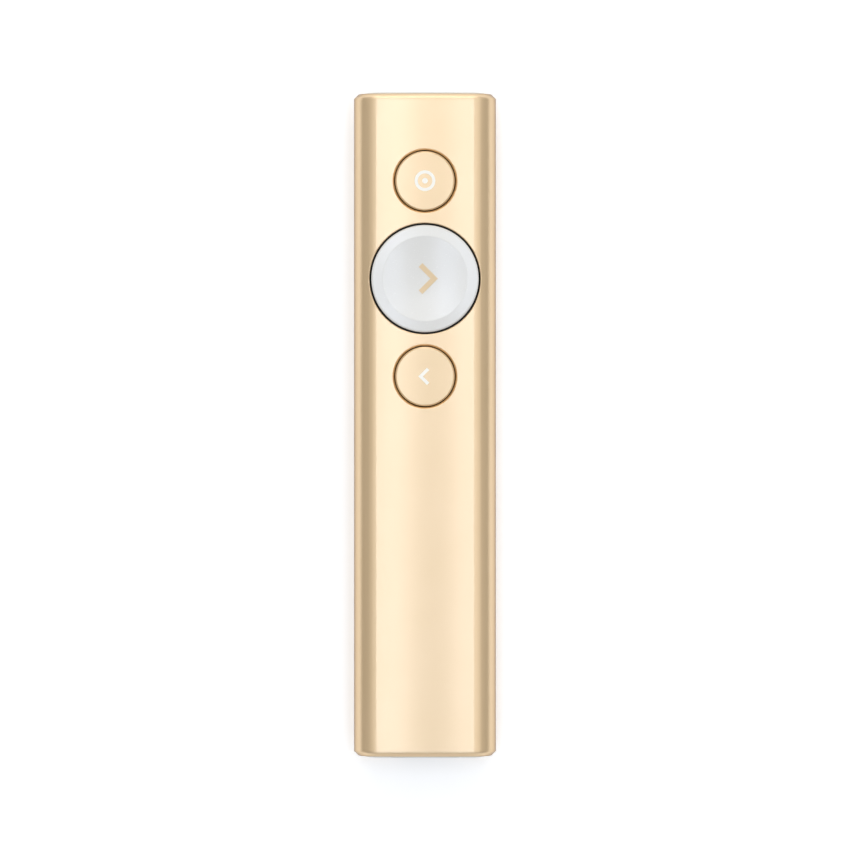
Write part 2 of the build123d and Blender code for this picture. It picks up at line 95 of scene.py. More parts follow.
# %% Colours and nodes
def linear(hex_colour):
    """Linear RGBA of an sRGB colour written as RRGGBB."""
    channels = [int(hex_colour[i : i + 2], 16) / 255 for i in (0, 2, 4)]
    return [c / 12.92 if c <= 0.04045 else ((c + 0.055) / 1.055) ** 2.4 for c in channels] + [1.0]


def add_node(tree, kind, inputs=None, **settings):
    """Add a node. An input is a plain value, a socket, or a node whose first live output is linked."""
    node = tree.nodes.new(kind)
    for name, value in settings.items():
        setattr(node, name, value)
    for socket, value in (inputs or {}).items():
        if isinstance(value, bpy.types.Node):
            value = next(output for output in value.outputs if output.enabled)
        if isinstance(value, bpy.types.NodeSocket):
            tree.links.new(value, node.inputs[socket])
        else:
            node.inputs[socket].default_value = value
    return node


# %% Start and wire a material
NOISE_LOW, NOISE_HIGH = 0.3, 0.7  # most of a noise's values lie between these
EDGE_SAMPLES = 8


def start_material(name, **shader_values):
    """A material with one Principled shader. Returns it with its tree, its shader and Object coordinates."""
    material = bpy.data.materials.new(name)
    material.use_nodes = True
    tree = material.node_tree
    tree.nodes.clear()
    values = {socket.replace("_", " "): value for socket, value in shader_values.items()}
    shader = add_node(tree, "ShaderNodeBsdfPrincipled", values)
    add_node(tree, "ShaderNodeOutputMaterial", {"Surface": shader})
    place = add_node(tree, "ShaderNodeTexCoord").outputs["Object"]
    return material, tree, shader, place


def spread(value, low, high):
    """Map Range inputs that stretch a noise's usual values over low to high."""
    return {"Value": value, "From Min": NOISE_LOW, "From Max": NOISE_HIGH, "To Min": low, "To Max": high}


def two_tones(tree, pattern, first, second):
    """A colour that wanders between two close tones as the pattern does."""
    share = add_node(tree, "ShaderNodeMapRange", spread(pattern, 0, 1))
    tones = {"Factor": share, "A": linear(first), "B": linear(second)}
    return add_node(tree, "ShaderNodeMix", tones, data_type="RGBA")


def wire_surface(tree, shader, colour, roughness, height, depth_mm, edge):
    """Wire colour, roughness and relief into the shader. Light sees its edges rounded by edge, in metres."""
    rounded = add_node(tree, "ShaderNodeBevel", {"Radius": edge}, samples=EDGE_SAMPLES)
    relief = add_node(
        tree, "ShaderNodeBump", {"Height": height, "Distance": depth_mm * MM, "Normal": rounded}
    )
    for socket, node in (("Base Color", colour), ("Roughness", roughness), ("Normal", relief)):
        tree.links.new(next(output for output in node.outputs if output.enabled), shader.inputs[socket])


# %% [markdown]
# ## Pale gold anodised aluminium
#
# The tube is extruded aluminium. It is blasted with fine beads, which leaves a dense satin grain, then
# anodised: a clear oxide layer grows on the metal and takes up a gold dye. The metal under the dye gives
# broad, warm reflections, and the sealed oxide over it gives a fainter, tighter and white one, so bright
# places look creamier than dark ones. A metallic shader with a coat does both. Seen at a slant, a brown
# specular tint darkens the metal: this is painted shade, which stands in for the shaded floor beside the
# tube that its sides reflect. A bead's dent is a tenth of a millimetre, too fine to show from a metre
# away, so the grain is drawn three times as coarse.
# The dye takes up a little unevenly along the tube. The small caps are turned from the same metal, and
# their gold is drawn a touch darker: painted shade, which stands in for the shade a flatter cap shows on its
# right.

# %% Anodised finishes
BEAD_MM = 0.3
BEAD_DEPTH_MM = 0.002
DYE_PATCH_MM = 14
HOLE_EDGE_MM = 0.2  # the finish rounds the edges of the button holes this much
END_EDGE_MM = 0.9  # and the tube's two ends, which were tumbled, this much
END_STARTS_MM, END_BLEND_MM = 60, 1  # measured from the middle of the tube
SATIN_ROUGHNESS = 0.33
ROUGHNESS_DRIFT = 0.02


def anodised_aluminium(name, first, second):
    """Bead-blasted, gold-dyed aluminium under its clear oxide."""
    material, tree, shader, place = start_material(
        name,
        Metallic=1.0,
        # painted shade: the brown tint darkens the metal at a slant, for the shaded floor beside the tube
        Specular_Tint=linear("64462E"),
        Coat_Weight=0.7,
        Coat_Roughness=0.2,
        Coat_IOR=1.5,
    )
    beads = add_node(tree, "ShaderNodeTexNoise", {"Vector": place, "Scale": 1 / (BEAD_MM * MM), "Detail": 3})
    dye = add_node(tree, "ShaderNodeTexNoise", {"Vector": place, "Scale": 1 / (DYE_PATCH_MM * MM)})
    colour = two_tones(tree, dye, first, second)
    dullest, shiniest = SATIN_ROUGHNESS + ROUGHNESS_DRIFT, SATIN_ROUGHNESS - ROUGHNESS_DRIFT
    uneven = add_node(tree, "ShaderNodeMapRange", spread(beads, shiniest, dullest))
    apart = add_node(tree, "ShaderNodeSeparateXYZ", {"Vector": place})
    from_middle = add_node(tree, "ShaderNodeMath", {0: apart.outputs["Y"]}, operation="ABSOLUTE")
    edge = add_node(
        tree,
        "ShaderNodeMapRange",
        {
            "Value": from_middle,
            "From Min": END_STARTS_MM * MM,
            "From Max": (END_STARTS_MM + END_BLEND_MM) * MM,
            "To Min": HOLE_EDGE_MM * MM,
            "To Max": END_EDGE_MM * MM,
        },
    )
    wire_surface(tree, shader, colour, uneven, beads, BEAD_DEPTH_MM, edge)
    return material


sleeve_metal = anodised_aluminium("satin_anodised_aluminium", "EBCFA7", "EDD1AA")
# painted shade: the caps' gold is a touch darker than the tube's, for the shade on a flatter cap
cap_metal_painted_shade = anodised_aluminium("satin_anodised_cap_painted_shade", "E6CAA1", "E8CCA4")
print("gold from", sleeve_metal.name, "and", cap_metal_painted_shade.name)

# %% [markdown]
# ## Moulded plastics
#
# The large cap is moulded in white polycarbonate against a satin tool, so it has a soft sheen. The end caps
# are a pale grey, fine matt plastic. The chassis and the stems are black, and their tool was spark eroded,
# which leaves a fine pebbled grain. The receiver's shells are moulded the same way in a warm grey.
# Plungers, battery plug and the receiver's tongue are plain white nylon, and the battery's leads have
# glossy red insulation. One recipe serves them all: two close tones for the flow of the plastic, a pebbled
# relief, and a roughness that follows it. The white cap also has a glossier skin, where the melt froze
# against the tool.

# %% Moulded finishes
FLOW_TO_PEBBLE = 20  # the tones change over this many pebbles
PEBBLE_ROUGHNESS_DRIFT = 0.04


def moulded_plastic(name, first, second, roughness, pebble_mm, depth_mm, edge_mm):
    """Injection-moulded plastic whose surface has pebbles of that size and depth."""
    material, tree, shader, place = start_material(name, IOR=1.5)
    pebbles = add_node(
        tree, "ShaderNodeTexNoise", {"Vector": place, "Scale": 1 / (pebble_mm * MM), "Detail": 3}
    )
    flow_scale = 1 / (FLOW_TO_PEBBLE * pebble_mm * MM)
    flow = add_node(tree, "ShaderNodeTexNoise", {"Vector": place, "Scale": flow_scale})
    colour = two_tones(tree, flow, first, second)
    dullest, shiniest = roughness + PEBBLE_ROUGHNESS_DRIFT, roughness - PEBBLE_ROUGHNESS_DRIFT
    uneven = add_node(tree, "ShaderNodeMapRange", spread(pebbles, shiniest, dullest))
    wire_surface(tree, shader, colour, uneven, pebbles, depth_mm, edge_mm * MM)
    return material


# after the two tones: roughness, then pebble size, pebble depth and rounded edge in millimetres
white_satin = moulded_plastic("satin_white_polycarbonate", "E4E2DD", "E6E4DF", 0.24, 0.3, 0.001, 0.2)
cap_shader = white_satin.node_tree.nodes["Principled BSDF"]
cap_shader.inputs["IOR"].default_value = 1.585  # polycarbonate
cap_shader.inputs["Coat Weight"].default_value = 1.0
cap_shader.inputs["Coat Roughness"].default_value = 0.2
cap_grey = moulded_plastic("fine_matt_grey_abs", "DEDCD6", "E2E0DA", 0.5, 0.3, 0.003, 0.1)
black_pebbled = moulded_plastic("spark_eroded_black_abs", "17171A", "1E1E20", 0.55, 0.25, 0.01, 0.1)
receiver_grey = moulded_plastic("spark_eroded_grey_abs", "C3C0B8", "C9C6BE", 0.5, 0.25, 0.008, 0.1)
white_nylon = moulded_plastic("white_nylon", "E4E4E0", "EAEAE6", 0.4, 0.5, 0.003, 0.05)
insulation = moulded_plastic("red_pvc_insulation", "A3161A", "AD1C1F", 0.3, 0.4, 0.002, 0.05)
for finish in (white_satin, cap_grey, black_pebbled, receiver_grey, white_nylon, insulation):
    print(finish.name, "with", len(finish.node_tree.nodes), "nodes")

# %% [markdown]
# ## Boards
#
# The boards are glass cloth laminate under a green solder mask. Copper tracks show through the mask as
# slightly raised, paler lines, and small plated holes join the layers. Tracks run square to the board, so a
# brick pattern with thin joints draws them, and the middles of a cell pattern make the holes.

# %% Solder mask
TRACK_PITCH_MM = 1.2
TRACK_WIDTH_MM = 0.2
TRACK_RUN = 3.5  # a straight run's length, in pitches
TRACK_RAISED_MM = 0.03
BOARD_EDGE_MM = 0.05
HOLE_PITCH_MM = 2.6
HOLE_RADIUS_MM = 0.25
CLOTH_MM = 0.5
MASK_ROUGHNESS = (0.3, 0.38)  # it wanders between these with the cloth under it

solder_mask, tree, shader, place = start_material("green_solder_mask", IOR=1.5)
tracks = add_node(
    tree,
    "ShaderNodeTexBrick",
    {
        "Vector": place,
        "Scale": 1 / (TRACK_PITCH_MM * MM),
        "Mortar Size": TRACK_WIDTH_MM / TRACK_PITCH_MM / 2,
        "Brick Width": TRACK_RUN,
        "Row Height": 1.0,
    },
)
holes = add_node(tree, "ShaderNodeTexVoronoi", {"Vector": place, "Scale": 1 / (HOLE_PITCH_MM * MM)})
plated = add_node(
    tree,
    "ShaderNodeMath",
    {0: holes.outputs["Distance"], 1: HOLE_RADIUS_MM / HOLE_PITCH_MM},
    operation="LESS_THAN",
)
cloth = add_node(tree, "ShaderNodeTexNoise", {"Vector": place, "Scale": 1 / (CLOTH_MM * MM)})
masked = add_node(
    tree,
    "ShaderNodeMix",
    {"Factor": tracks.outputs["Fac"], "A": linear("0E4A2C"), "B": linear("1D6A42")},
    data_type="RGBA",
)
colour = add_node(
    tree,
    "ShaderNodeMix",
    {"Factor": plated, "A": masked.outputs["Result"], "B": linear("D8B566")},
    data_type="RGBA",
)
uneven = add_node(tree, "ShaderNodeMapRange", spread(cloth, *MASK_ROUGHNESS))
wire_surface(tree, shader, colour, uneven, tracks.outputs["Fac"], TRACK_RAISED_MM, BOARD_EDGE_MM * MM)
print(solder_mask.name, "with", len(tree.nodes), "nodes")

# %% [markdown]
# ## Chips and ceramic
#
# Chips and switches are cast in matt black compound, a resin full of fine silica, and the antenna is a bar
# of fired ceramic. Both get their look from a fine speckle, drawn a tenth of a millimetre across or a
# little more so that it shows close up, and the duller grains stand a little proud.

# %% Cast and fired finishes
GRAIN_DULLER = 0.1
GRAIN_PROUD_MM = 0.004
CHIP_EDGE_MM = 0.05


def cast_compound(name, first, second, roughness, speck_mm):
    """Filled resin or ceramic, with the fine speckle of its filler."""
    material, tree, shader, place = start_material(name, IOR=1.5)
    specks = add_node(
        tree, "ShaderNodeTexNoise", {"Vector": place, "Scale": 1 / (speck_mm * MM), "Detail": 4}
    )
    colour = two_tones(tree, specks, first, second)
    uneven = add_node(tree, "ShaderNodeMapRange", spread(specks, roughness, roughness + GRAIN_DULLER))
    wire_surface(tree, shader, colour, uneven, specks, GRAIN_PROUD_MM, CHIP_EDGE_MM * MM)
    return material


chip_black = cast_compound("black_moulding_compound", "1F1F22", "2A2A2C", 0.5, 0.1)
ceramic = cast_compound("fired_ceramic", "D6DADD", "E2E4E6", 0.4, 0.15)
print(chip_black.name, "and", ceramic.name)

# %% [markdown]
# ## Metals inside
#
# Screws, cans, magnet, motor and plug are nickel-plated steel. Rolled sheet keeps fine lines along the way
# it was rolled, which stretch a highlight across them, so the noise is squeezed in one direction by a
# Mapping node. The contacts are flashed with gold. The battery's pouch is laminated foil with a soft,
# dented sheen.

# %% Metal and foil finishes
LINE_STRETCH = (1.0, 0.06, 1.0)  # long along Y
LINE_ROUGHNESS_DRIFT = 0.03
STAIN_MM = 3
SHEET_EDGE_MM = 0.06


def rolled_metal(name, first, second, roughness, line_mm, depth_mm):
    """Plated sheet metal with fine rolling lines along Y."""
    material, tree, shader, place = start_material(name, Metallic=1.0)
    stretched = add_node(tree, "ShaderNodeMapping", {"Vector": place, "Scale": LINE_STRETCH})
    lines = add_node(
        tree, "ShaderNodeTexNoise", {"Vector": stretched, "Scale": 1 / (line_mm * MM), "Detail": 3}
    )
    stains = add_node(tree, "ShaderNodeTexNoise", {"Vector": place, "Scale": 1 / (STAIN_MM * MM)})
    colour = two_tones(tree, stains, first, second)
    dullest, shiniest = roughness + LINE_ROUGHNESS_DRIFT, roughness - LINE_ROUGHNESS_DRIFT
    uneven = add_node(tree, "ShaderNodeMapRange", spread(lines, shiniest, dullest))
    wire_surface(tree, shader, colour, uneven, lines, depth_mm, SHEET_EDGE_MM * MM)
    return material


# after the two tones: roughness, then the width and depth of the rolling lines in millimetres
nickel = rolled_metal("nickel_plated_steel", "C9C7C2", "D3D1CC", 0.28, 0.12, 0.001)
gold_flash = rolled_metal("gold_flashed_bronze", "E3B85C", "EAC26B", 0.25, 0.12, 0.001)
pouch_foil = rolled_metal("laminated_pouch_foil", "C6C8CA", "CFD1D3", 0.38, 1.6, 0.03)
print(nickel.name, gold_flash.name, pouch_foil.name)

# %% [markdown]
# ## Dress the construction
#
# Each piece of the construction names the finish that it is made in. A table turns that name into one of
# the materials above, and the material goes on the piece's own slots. The piece's mesh isn't touched.

# %% Put the materials on
FINISHES = {
    "gold_anodised_aluminium": sleeve_metal,
    "gold_button": cap_metal_painted_shade,
    "white_button": white_satin,
    "end_cap_plastic": cap_grey,
    "black_moulding": black_pebbled,
    "receiver_plastic": receiver_grey,
    "white_plastic": white_nylon,
    "circuit_board": solder_mask,
    "chip_package": chip_black,
    "antenna_ceramic": ceramic,
    "plated_steel": nickel,
    "contact_brass": gold_flash,
    "battery_foil": pouch_foil,
    "lead_insulation": insulation,
}
for subpart in frame["record"]["subparts"]:
    for slot in frame["nodes"][subpart["node"]].material_slots:
        slot.material = FINISHES[subpart["material_slot"]]

# %% [markdown]
# ## Helpers for new pieces
#
# The fine pieces are modelled with mesh operators, which spin, extrude or cut a simple figure. One function
# turns the finished shape into a piece that moves with its body. It points the faces outward, smooths all
# but the sharp edges, and counts open edges, because a piece with a gap has no inside.

# %% Mesh helpers
SHARP_DEGREES = 35


def make_piece(name, shape, slot, body, smooth_degrees=SHARP_DEGREES):
    """Turn a finished bmesh into a piece on a body, in the finish of a slot."""
    bmesh.ops.recalc_face_normals(shape, faces=shape.faces)
    open_edges = sum(len(edge.link_faces) != 2 for edge in shape.edges)
    mesh = bpy.data.meshes.new(name)
    shape.to_mesh(mesh)
    shape.free()
    mesh.materials.append(FINISHES[slot])
    for face in mesh.polygons:
        face.use_smooth = True
    mesh.set_sharp_from_angle(angle=math.radians(smooth_degrees))
    piece = bpy.data.objects.new(name, mesh)
    scene.collection.objects.link(piece)
    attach(piece, body)
    print(name, len(mesh.polygons), "faces,", open_edges, "open edges")
    return piece


def middle_of(node):
    """Middle of a construction piece's box."""
    low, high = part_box(node)
    return (low + high) / 2


# %% [markdown]
# ## Icons on the caps
#
# The icons are ink, pad printed on the finished caps: a ring with a dot for the pointer, a bold arrow head
# for next, and a slim one for back. A picture texture would do it, but ink is a real film with an edge, so
# each icon is a closed film a few hundredths of a millimetre thick. It starts as a flat figure of fine
# cells, gets a thickness, and is then laid on the cap: a ray straight down from each corner finds the
# surface.

# %% Flat figures
INK_CELL_MM = 0.25  # fine enough to bend with a cap
RING_SEGMENTS = 64
ARM_DEGREES = 45
SEAM_MM = 0.001  # corners nearer than this along the mirror line become one


def flat_ring(shape, outer_mm, inner_mm):
    """Add a flat ring about the origin, or a disc when it has no inner circle."""
    loops = []
    for radius_mm in (outer_mm, inner_mm) if inner_mm else (outer_mm,):
        made = bmesh.ops.create_circle(
            shape, segments=RING_SEGMENTS, radius=radius_mm * MM, cap_ends=not inner_mm, cap_tris=True
        )
        loops += list({edge for vertex in made["verts"] for edge in vertex.link_edges})
    if inner_mm:
        bmesh.ops.bridge_loops(shape, edges=loops)


def flat_arrow_head(shape, tip_mm, leg_mm, stroke_mm):
    """Add a flat arrow head on X: two slanting arms from a tip. A negative leg opens it to the right."""
    turned = math.radians(180 - ARM_DEGREES if leg_mm > 0 else ARM_DEGREES)
    length = (abs(leg_mm) * math.sqrt(2) + stroke_mm) * MM
    cells = round(length / (INK_CELL_MM * MM))
    arm = Matrix.Rotation(turned, 4, "Z") @ Matrix.Translation((length / 2 - stroke_mm * MM, 0, 0))
    at_tip = Matrix.Translation((tip_mm * MM, 0, 0))
    bmesh.ops.create_grid(
        shape,
        x_segments=cells,
        y_segments=round(stroke_mm / INK_CELL_MM),
        size=0.5,
        matrix=at_tip @ arm @ Matrix.Diagonal((length, stroke_mm * MM, 1, 1)),
    )
    everything = shape.verts[:] + shape.edges[:] + shape.faces[:]
    bmesh.ops.bisect_plane(shape, geom=everything, plane_co=(0, 0, 0), plane_no=(0, 1, 0), clear_inner=True)
    everything = shape.verts[:] + shape.edges[:] + shape.faces[:]
    bmesh.ops.mirror(shape, geom=everything, axis="Y", merge_dist=SEAM_MM * MM)


# %% Inks
white_ink = moulded_plastic("white_printing_ink", "FFFBF2", "FFFDF6", 0.5, 0.2, 0.001, 0.02)
gold_ink = moulded_plastic("gold_printing_ink", "E3C9A0", "E7CDA6", 0.5, 0.2, 0.001, 0.02)
print("inks:", white_ink.name, gold_ink.name)

# %% Print the icons
INK_MM = 0.03
BED_MM = 0.02  # the film reaches this far into the cap, so that no gap shows under it
POINTER_RING_MM = (2.04, 1.43)  # outer and inner radius
POINTER_DOT_MM = 0.56
NEXT_ARROW_MM = (1.8, 2.68, 1.05)  # tip from the cap's middle, arm's reach along X, stroke
BACK_ARROW_MM = (-0.86, -1.47, 0.64)


def print_icon(name, shape, ink, cap, slot, body):
    """Give a flat figure its thickness and lay it on a cap, as a film of ink."""
    bmesh.ops.triangulate(shape, faces=shape.faces[:])
    raised = bmesh.ops.extrude_face_region(shape, geom=shape.faces[:], use_keep_orig=True)
    top = {part for part in raised["geom"] if isinstance(part, bmesh.types.BMVert)}
    surface = BVHTree.FromObject(frame["nodes"][cap], bpy.context.evaluated_depsgraph_get())
    centre = middle_of(cap)
    for vertex in shape.verts:
        above = Vector((centre.x + vertex.co.x, centre.y + vertex.co.y, 1.0))
        landing = surface.ray_cast(above, Vector((0, 0, -1)))[0]
        landing.z += (INK_MM if vertex in top else -BED_MM) * MM
        vertex.co = landing
    icon = make_piece(name, shape, slot, body)
    icon.material_slots[0].material = ink


figure = bmesh.new()
flat_ring(figure, *POINTER_RING_MM)
flat_ring(figure, POINTER_DOT_MM, None)
print_icon("pointer_icon", figure, white_ink, "pointer_button_cap", "white_plastic", "pointer_button")

figure = bmesh.new()
flat_arrow_head(figure, *NEXT_ARROW_MM)
print_icon("next_icon", figure, gold_ink, "next_button_cap", "gold_button", "next_button")

figure = bmesh.new()
flat_arrow_head(figure, *BACK_ARROW_MM)
print_icon("back_icon", figure, white_ink, "back_button_cap", "white_plastic", "back_button")

# %% [markdown]
# ## Screws
#
# Four small screws clamp the board. The real ones are pan heads with a cross recess and a rolled thread. A
# turned profile makes the head's dome and the thread's ridges in one go, and the recess is a cross of two
# slots, cut by a boolean. The construction's plain pins stay as what the simulation touches, and these
# screws stand for them in the picture.

# %% Turn the screws
HEAD_RADIUS_MM, SHANK_RADIUS_MM = 1.3, 0.7
DOME = ((0, 0), (0.75, 0.08), (1.0, 0.35))  # share of the head's radius, and millimetres below its top
POINT_RADIUS = 0.5  # of the shank's
THREAD_PITCH_MM = 0.45
THREAD_DEPTH_MM = 0.1
TURN_STEPS = 28
WELD_MM = 0.002
METAL_SHARP_DEGREES = 30


def screw_profile(head_radius, shank_radius, head_top, seat, foot):
    """Half section of a pan-head screw, from the middle of its head to the point of its shank, in metres."""
    dome = [(head_radius * share, head_top - below_mm * MM) for share, below_mm in DOME]
    points = dome + [(head_radius, seat), (shank_radius, seat)]
    ridges = int((seat - foot) / (THREAD_PITCH_MM * MM)) - 1
    for ridge in range(ridges):
        z = seat - (ridge + 0.5) * THREAD_PITCH_MM * MM
        root = shank_radius - THREAD_DEPTH_MM * MM
        points += [(root, z), (shank_radius, z - THREAD_PITCH_MM * MM / 2)]
    return points + [(shank_radius * POINT_RADIUS, foot), (0, foot)]


low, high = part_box("board_screws")
board_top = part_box("main_board")[1].z
head_radius = HEAD_RADIUS_MM * MM
spots = [
    (x, y)
    for x in (low.x + head_radius, high.x - head_radius)
    for y in (low.y + head_radius, high.y - head_radius)
]
screws = bmesh.new()
profile = screw_profile(head_radius, SHANK_RADIUS_MM * MM, high.z, board_top, low.z)
for x, y in spots:
    line = [screws.verts.new((x + r, y, z)) for r, z in profile]
    edges = [screws.edges.new(pair) for pair in zip(line, line[1:])]
    bmesh.ops.spin(
        screws,
        geom=line + edges,
        cent=(x, y, 0),
        axis=(0, 0, 1),
        angle=2 * math.pi,
        steps=TURN_STEPS,
        use_merge=True,
    )
bmesh.ops.remove_doubles(screws, verts=screws.verts, dist=WELD_MM * MM)
screw_piece = make_piece("cross_recess_screws", screws, "plated_steel", "handset", METAL_SHARP_DEGREES)
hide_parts("board_screws")

# %% Cut the cross recesses
RECESS_MM = (0.28, 1.3, 0.9)  # slot width, slot length, twice the depth
RECESS_TURN = 0.3  # radians, as the driver happened to leave them

slots = bmesh.new()
for x, y in spots:
    for turn in (RECESS_TURN, RECESS_TURN + math.pi / 2):
        placed = Matrix.Translation((x, y, high.z)) @ Matrix.Rotation(turn, 4, "Z")
        size = Matrix.Diagonal((*[side_mm * MM for side_mm in RECESS_MM], 1))
        bmesh.ops.create_cube(slots, size=1.0, matrix=placed @ size)
cutter_mesh = bpy.data.meshes.new("recess_cutter")
slots.to_mesh(cutter_mesh)
slots.free()
cutter = bpy.data.objects.new("recess_cutter", cutter_mesh)
scene.collection.objects.link(cutter)
cut = screw_piece.modifiers.new("recess", "BOOLEAN")
cut.object, cut.operation, cut.solver, cut.use_self = cutter, "DIFFERENCE", "EXACT", True
evaluated = screw_piece.evaluated_get(bpy.context.evaluated_depsgraph_get())
whole = bpy.data.meshes.new_from_object(evaluated)
screw_piece.modifiers.clear()
screw_piece.data = whole
bpy.data.objects.remove(cutter)
print("screws have", len(whole.polygons), "faces after cutting")

# %% [markdown]
# ## Legs under the switches and chips
#
# Surface-mount parts stand on folded metal legs: flat feet soldered to the board, a riser, and a root that
# goes into the body. Each leg is a strip bent twice: drawn from the side as four points, extruded across
# its width and given its thickness. One function bends a leg of any size, and loops place the legs along
# each part.

# %% Bend the legs
LEG_SHEET_MM = 0.12
FOOT_ENDS, RISER_ENDS = 0.45, 0.25  # shares of a leg's reach, from the body
ROOT_MM = 0.1  # how far a leg goes into its body
SWITCH_LEG = {"root_mm": 0.5, "width_mm": 0.7, "reach_mm": 0.7}
SWITCH_LEGS_AT_MM = (-1.5, 1.5)
CHIP_LEG = {"root_mm": 0.35, "width_mm": 0.25, "reach_mm": 0.45}
CHIP_LEGS = {  # pitch in millimetres, and legs on each side
    "microcontroller": (0.8, 6),
    "charging_chip": (0.65, 4),
    "motion_sensor": (0.65, 3),
}


def add_leg(shape, x, y, side, across, root_mm, width_mm, reach_mm):
    """Add one bent leg. side is the way it points, and across says whether that is along X or Y."""
    lift = LEG_SHEET_MM * MM / 2
    root_z = board_top + root_mm * MM
    run = [
        (reach_mm * MM, board_top + lift),
        (reach_mm * FOOT_ENDS * MM, board_top + lift),
        (reach_mm * RISER_ENDS * MM, root_z),
        (-ROOT_MM * MM, root_z),
    ]
    half = width_mm * MM / 2
    before = set(shape.verts)
    strip = [shape.verts.new((side * out, -half, z)) for out, z in run]
    edges = [shape.edges.new(pair) for pair in zip(strip, strip[1:])]
    made = bmesh.ops.extrude_edge_only(shape, edges=edges)["geom"]
    corners = [part for part in made if isinstance(part, bmesh.types.BMVert)]
    bmesh.ops.translate(shape, verts=corners, vec=(0, 2 * half, 0))
    faces = [part for part in made if isinstance(part, bmesh.types.BMFace)]
    raised = bmesh.ops.extrude_face_region(shape, geom=faces, use_keep_orig=True)["geom"]
    corners = [part for part in raised if isinstance(part, bmesh.types.BMVert)]
    bmesh.ops.translate(shape, verts=corners, vec=(0, 0, lift))
    new = [vertex for vertex in shape.verts if vertex not in before]
    if across == "Y":
        bmesh.ops.rotate(shape, verts=new, cent=(0, 0, 0), matrix=Matrix.Rotation(math.pi / 2, 3, "Z"))
    bmesh.ops.translate(shape, verts=new, vec=(x, y, 0))


legs = bmesh.new()
for button in ("pointer", "next", "back"):
    low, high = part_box(f"{button}_switch")
    centre = middle_of(f"{button}_switch")
    for side, edge_x in ((-1, low.x), (1, high.x)):
        for offset_mm in SWITCH_LEGS_AT_MM:
            add_leg(legs, edge_x, centre.y + offset_mm * MM, side, "X", **SWITCH_LEG)
for chip, (pitch_mm, count) in CHIP_LEGS.items():
    low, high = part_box(chip)
    centre = middle_of(chip)
    for side, edge_x, edge_y in ((-1, low.x, low.y), (1, high.x, high.y)):
        for number in range(count):
            offset = (number - (count - 1) / 2) * pitch_mm * MM
            add_leg(legs, edge_x, centre.y + offset, side, "X", **CHIP_LEG)
            if chip == "microcontroller":
                add_leg(legs, centre.x + offset, edge_y, side, "Y", **CHIP_LEG)
make_piece("soldered_legs", legs, "plated_steel", "handset", METAL_SHARP_DEGREES)

# %% [markdown]
# ## Contacts in the charging socket
#
# A type C socket has twelve gold contacts on each side of its tongue. Each is a bar let into the tongue
# with its face a little proud, and its nose bevelled so that the plug slides over it.

# %% Socket contacts
CONTACTS_A_SIDE = 12
CONTACT_PITCH_MM = 0.5
CONTACT_MM = (0.27, 3.4, 0.12)
CONTACT_NOSE_MM = 0.02
CONTACT_SETBACK_MM = 0.5  # from the tongue's front
CONTACT_PROUD_MM = 0.03
SOCKET_BACK_MM = 1.1
TONGUE_LENGTH_MM = 4.7
TONGUE_HALF_MM = 0.35  # half its thickness

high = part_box("usb_c_socket")[1]
socket_middle = middle_of("usb_c_socket")
tongue_front = high.y - (SOCKET_BACK_MM + TONGUE_LENGTH_MM) * MM
contacts = bmesh.new()
for number in range(CONTACTS_A_SIDE):
    x = (number - (CONTACTS_A_SIDE - 1) / 2) * CONTACT_PITCH_MM * MM
    for side in (-1, 1):
        z = socket_middle.z + side * (TONGUE_HALF_MM + CONTACT_PROUD_MM - CONTACT_MM[2] / 2) * MM
        y = tongue_front + (CONTACT_SETBACK_MM + CONTACT_MM[1] / 2) * MM
        size = Matrix.Diagonal((*[side_mm * MM for side_mm in CONTACT_MM], 1))
        bmesh.ops.create_cube(contacts, size=1.0, matrix=Matrix.Translation((x, y, z)) @ size)
bmesh.ops.bevel(
    contacts,
    geom=contacts.edges[:],
    offset=CONTACT_NOSE_MM * MM,
    segments=1,
    profile=0.5,
    affect="EDGES",
    material=-1,
)
make_piece("socket_contacts", contacts, "contact_brass", "handset", METAL_SHARP_DEGREES)

# %% [markdown]
# ## The floor
#
# The clicker lies on a white sweep. Ordinary light makes it nearly white and leaves the clicker's shadow on
# it. A little white is added for rays that come straight from the camera, which keeps the background clean,
# and for mirror and glass rays, so that the metal reflects the floor that the picture shows. The floor can
# be seen through from below, so that the underside can be looked at, and it lies a hair below zero, because
# two faces at one height flicker.

# %% White sweep
FLOOR_SIZE = 3.0  # metres from its middle to each side
FLOOR_LIFT = 0.32  # white added for the camera and for mirror rays
FLOOR_DROP_MM = 0.02

floor_mesh = bpy.data.meshes.new("floor")
shape = bmesh.new()
below = Matrix.Translation((0, 0, -FLOOR_DROP_MM * MM))
bmesh.ops.create_grid(shape, x_segments=1, y_segments=1, size=FLOOR_SIZE, matrix=below)
shape.to_mesh(floor_mesh)
shape.free()
floor = bpy.data.objects.new("floor", floor_mesh)
scene.collection.objects.link(floor)

floor_material, tree, shader, place = start_material(
    "white_sweep",
    Roughness=0.9,
    Specular_IOR_Level=0.0,
    Base_Color=linear("EFEFEF"),
    Emission_Color=linear("FFFFFF"),
)
rays = add_node(tree, "ShaderNodeLightPath").outputs
camera_or_mirror = {0: rays["Is Camera Ray"], 1: rays["Is Glossy Ray"]}
straight = add_node(tree, "ShaderNodeMath", camera_or_mirror, operation="MAXIMUM")
or_glass = {0: straight, 1: rays["Is Transmission Ray"]}
seen = add_node(tree, "ShaderNodeMath", or_glass, operation="MAXIMUM")
lift = add_node(tree, "ShaderNodeMath", {0: seen, 1: FLOOR_LIFT}, operation="MULTIPLY")
tree.links.new(lift.outputs["Value"], shader.inputs["Emission Strength"])
from_below = add_node(tree, "ShaderNodeNewGeometry").outputs["Backfacing"]
clear = add_node(tree, "ShaderNodeBsdfTransparent")
one_sided = add_node(tree, "ShaderNodeMixShader", {0: from_below, 1: shader, 2: clear})
output = next(node for node in tree.nodes if node.type == "OUTPUT_MATERIAL")
tree.links.new(one_sided.outputs["Shader"], output.inputs["Surface"])
floor_mesh.materials.append(floor_material)
print("floor lifted by", FLOOR_LIFT)

